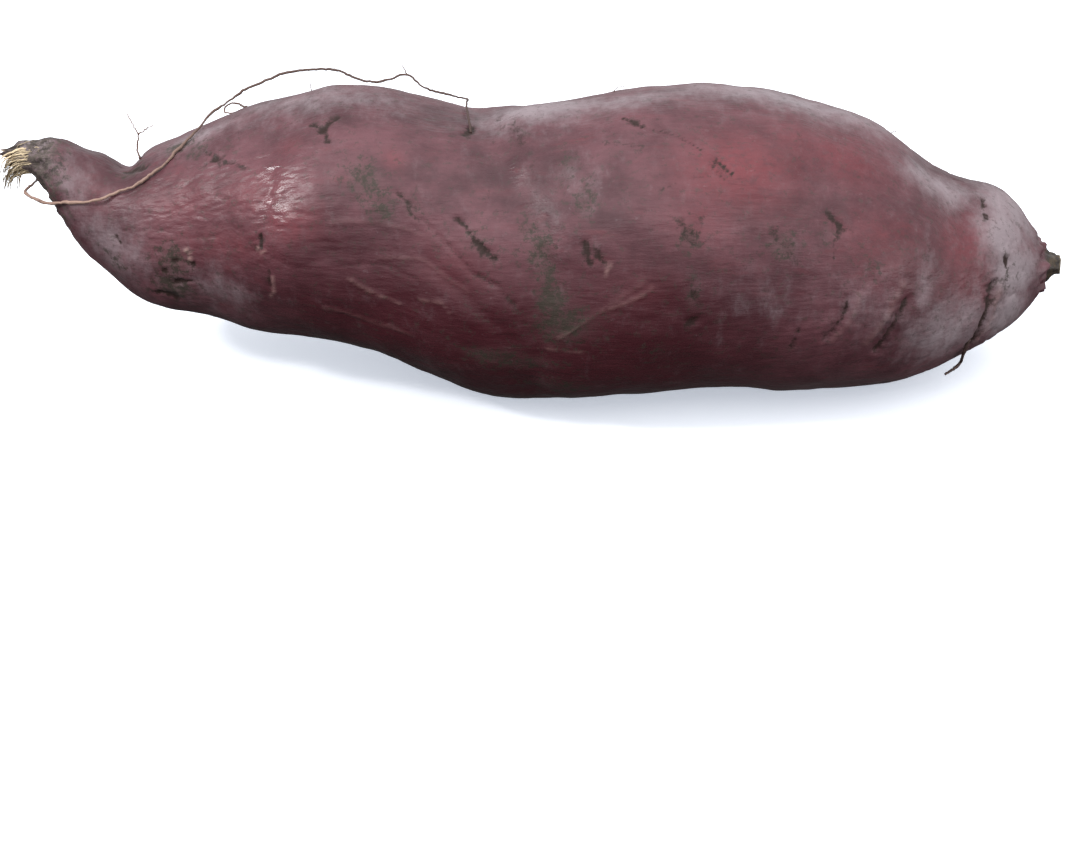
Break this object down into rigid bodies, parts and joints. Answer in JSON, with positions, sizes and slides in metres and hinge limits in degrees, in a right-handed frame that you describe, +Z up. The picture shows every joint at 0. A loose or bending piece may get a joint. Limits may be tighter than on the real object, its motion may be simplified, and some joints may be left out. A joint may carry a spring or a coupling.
{
  "type": "sweet potato",
  "caption": "Whole sweet potato lying on its side, with a waist between its lobes, a torn hooked stalk end, a broken root tip and loose rootlets.",
  "frame": {"origin": "on the surface the tuber rests on, under the middle of its outline seen from above", "axes": "+X along the tuber from the torn stalk end towards the root tip, +Z up, -Y the side seen from the front"},
  "size_m": [0.2008, 0.0608, 0.0566],
  "materials": {
    "skin": "thin purple-red tuber skin, half matt, with a dusty bloom, scars and wrinkles",
    "dry_fibre": "dry brown root fibre, matt"
  },
  "bodies": {
    "root": {"tuber": "skin", "long_rootlet": "dry_fibre", "curled_rootlet": "dry_fibre", "forked_rootlet": "dry_fibre", "hooked_rootlet": "dry_fibre"}
  },
  "joints": []
}
